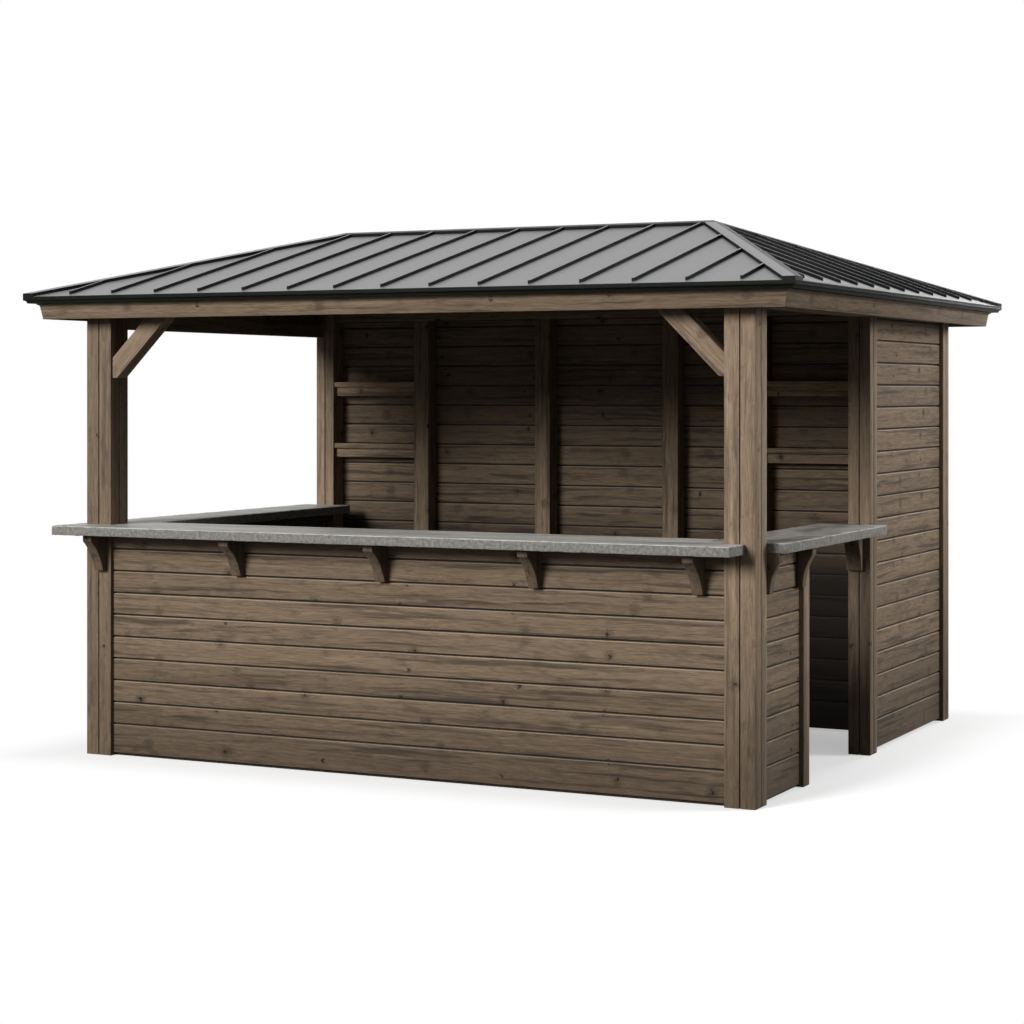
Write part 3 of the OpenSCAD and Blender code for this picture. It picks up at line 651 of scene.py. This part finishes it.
# Ridge and hip caps: folded sheet with its edges painted dark as shade; the ridge cap and the hip caps' faces
# over the end slopes take a matt copy of the sheet painted darker as shade; the hip caps left sharp
capCuts = {"ridgeEase": 0.003, "hipEase": 0, "edgeTilt": 0.9}
for capName, capNode, longSheet, capEase in (
        ("ridgeCap", "ridge_cap", capShadeSheet, capCuts["ridgeEase"]),
        ("hipCaps", "hip_caps", roofSheet, capCuts["hipEase"])):
    cap = copyNode(capName, capNode)
    if capEase:
        easeEdges(cap, capEase)
    for capMaterial in (longSheet, capShadeSheet, seamShadeSheet):
        cap.data.materials.append(capMaterial)
    for polygon in cap.data.polygons:
        overLong = abs(polygon.normal.y) > abs(polygon.normal.x)
        polygon.material_index = 2 if polygon.normal.z < capCuts["edgeTilt"] else 0 if overLong else 1
    finishPiece(cap, "roof_sheet", capNode)

# Roof slopes: folded seams whose sides are painted dark as shade, with tops in the sheet's own tone, over a
# boarded deck, rounded on the two end slopes only
longSeams = {"ease": 0, "paleTilt": 0.9}
endSeams = {"ease": 0.003, "paleTilt": 0.5}
slopeCuts = {"upTilt": 0.5, "panTilt": 0.99, "panWithin": 0.004}
for slopeName, slopeNode, seams in (
        ("frontRoof", "front_roof", longSeams), ("backRoof", "back_roof", longSeams),
        ("leftRoof", "left_roof", endSeams), ("rightRoof", "right_roof", endSeams)):
    slope = copyNode(slopeName, slopeNode)
    if seams["ease"]:
        easeEdges(slope, seams["ease"])
    for slopeMaterial in (roofSheet, sawnX, seamShadeSheet):
        slope.data.materials.append(slopeMaterial)
    pan = max((p for p in slope.data.polygons if p.normal.z > slopeCuts["upTilt"]), key=lambda p: p.area)
    panPlace, panNormal = pan.center.copy(), pan.normal.copy()
    for polygon in slope.data.polygons:
        tilt = polygon.normal.dot(panNormal)
        rise = abs((polygon.center - panPlace).dot(panNormal))
        inPan = tilt > slopeCuts["panTilt"] and rise < slopeCuts["panWithin"]
        onDeck = polygon.normal.z < -slopeCuts["upTilt"]
        polygon.material_index = 1 if onDeck else 0 if inPan or tilt > seams["paleTilt"] else 2
    finishPiece(slope, "roof_sheet", slopeNode)
print("stage: roof made")

# Counter slabs: cut into small cells, whose points at the open edges are pushed in and out as if chipped
slabCuts = {"cell": 0.025, "rows": 4, "ease": 0.004, "edgeWithin": 0.0048,
            "chip": 0.005, "chipSize": 0.03, "chipLevel": 0.6}


def castSlab(name, node, openFaces, material):
    low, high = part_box(node)
    slab = copyNode(name, node)
    easeEdges(slab, slabCuts["ease"])
    pickOnly(slab)
    bpy.ops.object.mode_set(mode="EDIT")
    for axis, cells in ((0, round((high.x - low.x) / slabCuts["cell"])),
                        (1, round((high.y - low.y) / slabCuts["cell"])), (2, slabCuts["rows"])):
        for i in range(1, cells):
            cut = Vector(low)
            cut[axis] += (high[axis] - low[axis]) * i / cells
            normal = Vector((0, 0, 0))
            normal[axis] = 1
            bpy.ops.mesh.select_all(action="SELECT")
            bpy.ops.mesh.bisect(plane_co=cut, plane_no=normal)
    bpy.ops.object.mode_set(mode="OBJECT")
    edgeGroup = slab.vertex_groups.new(name="brokenEdge")
    for point in slab.data.vertices:
        depth = min(abs(point.co[axis] - (high if end else low)[axis]) for axis, end in openFaces)
        if depth < slabCuts["edgeWithin"]:
            edgeGroup.add([point.index], 1.0, "REPLACE")
    chipping = bpy.data.textures.new(name + "Chipping", "CLOUDS")
    chipping.noise_scale = slabCuts["chipSize"]
    bpy.ops.object.modifier_add(type="DISPLACE")
    broken = slab.modifiers[-1]
    broken.texture = chipping
    broken.strength = slabCuts["chip"]
    broken.mid_level = slabCuts["chipLevel"]
    broken.vertex_group = edgeGroup.name
    bpy.ops.object.modifier_apply(modifier=broken.name)
    slab.data.materials.append(material)
    finishPiece(slab, "counter_slab", node)


castSlab("frontCounter", "front_counter", [(1, 0), (0, 0), (0, 1)], concrete)
castSlab("leftCounter", "left_counter", [(0, 0), (0, 1)], concrete)
castSlab("rightCounter", "right_counter", [(0, 0), (0, 1)], shadedRightConcrete)
print("stage: counters cast")

# Framing that hardly shows keeps its CAD solids, with a new finish; the bar's rails are painted dark as shade
for frameNode, frameMaterial in (
        ("bar_bottom_rails", shadedRailTimber), ("bar_top_rails", shadedRailTimber), ("bar_studs", sawnZ),
        ("ridge_beam", sawnX), ("hip_rafters", sawnX), ("rafters", sawnX)):
    cadNodes[frameNode].data.materials.clear()
    cadNodes[frameNode].data.materials.append(frameMaterial)

# Camera at the photograph's place: level, with the frame shifted down to hold the horizon high
photoView = {
    "place": (5.014, -10.559, 1.751), "turn": 0.4554,
    "imagePixels": 1024, "focalPixels": 2295.3, "horizonPixel": 391.3, "sensor": 36,
}
deselectAll()
bpy.ops.object.camera_add(location=photoView["place"], rotation=(math.pi / 2, 0, photoView["turn"]))
camera = bpy.context.object
camera.data.sensor_width = photoView["sensor"]
camera.data.lens = photoView["sensor"] * photoView["focalPixels"] / photoView["imagePixels"]
camera.data.shift_y = photoView["horizonPixel"] / photoView["imagePixels"] - 0.5
bpy.context.scene.camera = camera

# Pale floor that keeps the shadow near the building and fades to white, under an even sky and soft lamps
stageLook = {"floorSize": 80, "floorSeen": 0.58, "floorTone": 0.12, "floorLift": 0.42, "sky": 0.22,
             "walls": (1.74, 1.5, 1), "fadeFrom": 1.04, "fadeTo": 1.3, "lampAim": (0, 0, 1.0)}


def seenRays(tree):  # 1 where the camera looks, straight or by a mirror or glass, and 0 for bounced light
    rays = addNode(tree, "ShaderNodeLightPath").outputs
    seen = rays["Is Camera Ray"]
    for kind in ("Is Glossy Ray", "Is Transmission Ray"):
        seen = addNode(tree, "ShaderNodeMath", {"operation": "ADD", "use_clamp": True},
                       links={0: seen, 1: rays[kind]}).outputs[0]
    return seen


deselectAll()
bpy.ops.mesh.primitive_plane_add(size=stageLook["floorSize"])
floor = bpy.context.object
floor.name = "studioFloor"
floorMaterial = bpy.data.materials.new("paleStudioFloor")
floorMaterial.use_nodes = True
floorTree = floorMaterial.node_tree
floorTree.nodes.clear()
floorSeen = seenRays(floorTree)
floorTone = addNode(floorTree, "ShaderNodeMapRange",
                    inputs={"To Min": stageLook["floorTone"], "To Max": stageLook["floorSeen"]},
                    links={"Value": floorSeen})
floorDiffuse = addNode(floorTree, "ShaderNodeBsdfDiffuse", links={"Color": floorTone.outputs["Result"]})
floorPlace = addNode(floorTree, "ShaderNodeTexCoord")
floorSpan = addNode(floorTree, "ShaderNodeVectorMath", {"operation": "DIVIDE"}, {1: stageLook["walls"]},
                    {0: floorPlace.outputs["Object"]})
floorSides = addNode(floorTree, "ShaderNodeVectorMath", {"operation": "ABSOLUTE"},
                     links={0: floorSpan.outputs["Vector"]})
floorAxes = addNode(floorTree, "ShaderNodeSeparateXYZ", links={"Vector": floorSides.outputs["Vector"]})
floorReach = addNode(floorTree, "ShaderNodeMath", {"operation": "MAXIMUM"},
                     links={0: floorAxes.outputs["X"], 1: floorAxes.outputs["Y"]})
floorLift = addNode(floorTree, "ShaderNodeMath", {"operation": "MULTIPLY"}, {1: stageLook["floorLift"]},
                    {0: floorSeen})
floorGlow = addNode(floorTree, "ShaderNodeEmission", links={"Strength": floorLift.outputs[0]})
floorNear = addNode(floorTree, "ShaderNodeAddShader",
                    links={0: floorDiffuse.outputs["BSDF"], 1: floorGlow.outputs["Emission"]})
floorWhite = addNode(floorTree, "ShaderNodeEmission", inputs={"Strength": 1})
floorFade = addNode(floorTree, "ShaderNodeMapRange", {"interpolation_type": "SMOOTHSTEP"},
                    {"From Min": stageLook["fadeFrom"], "From Max": stageLook["fadeTo"]},
                    {"Value": floorReach.outputs[0]})
floorFar = addNode(floorTree, "ShaderNodeMath", {"operation": "MULTIPLY"},
                   links={0: floorFade.outputs["Result"], 1: floorSeen})
floorSurface = addNode(floorTree, "ShaderNodeMixShader",
                       links={0: floorFar.outputs[0], 1: floorNear.outputs["Shader"],
                              2: floorWhite.outputs["Emission"]})
addNode(floorTree, "ShaderNodeOutputMaterial", links={"Surface": floorSurface.outputs["Shader"]})
floor.data.materials.append(floorMaterial)

world = bpy.data.worlds.new("studioSky")
bpy.context.scene.world = world
world.use_nodes = True
skyTree = world.node_tree
skyTree.nodes.clear()
skyLevel = addNode(skyTree, "ShaderNodeMapRange", inputs={"To Min": stageLook["sky"]},
                   links={"Value": seenRays(skyTree)})
sky = addNode(skyTree, "ShaderNodeBackground", inputs={"Color": (1, 1, 1, 1)},
              links={"Strength": skyLevel.outputs["Result"]})
addNode(skyTree, "ShaderNodeOutputWorld", links={"Surface": sky.outputs["Background"]})

lamps = [
    {"name": "keyLamp", "place": (-8, -26, 11), "size": 11, "watts": 12100},
    {"name": "fillLamp", "place": (10, 3.5, 4.2), "size": 4, "watts": 880},
    {"name": "backLamp", "place": (3, 15, 6), "size": 5, "watts": 1150},
]
for lampLook in lamps:
    deselectAll()
    bpy.ops.object.light_add(type="AREA", location=lampLook["place"])
    lamp = bpy.context.object
    lamp.name = lampLook["name"]
    lamp.data.shape = "DISK"
    lamp.data.size = lampLook["size"]
    lamp.data.energy = lampLook["watts"]
    aim = Vector(stageLook["lampAim"]) - lamp.location
    lamp.rotation_euler = aim.to_track_quat("-Z", "Y").to_euler()
print("stage: camera, floor and light set")

bpy.context.scene.view_settings.view_transform = "Standard"
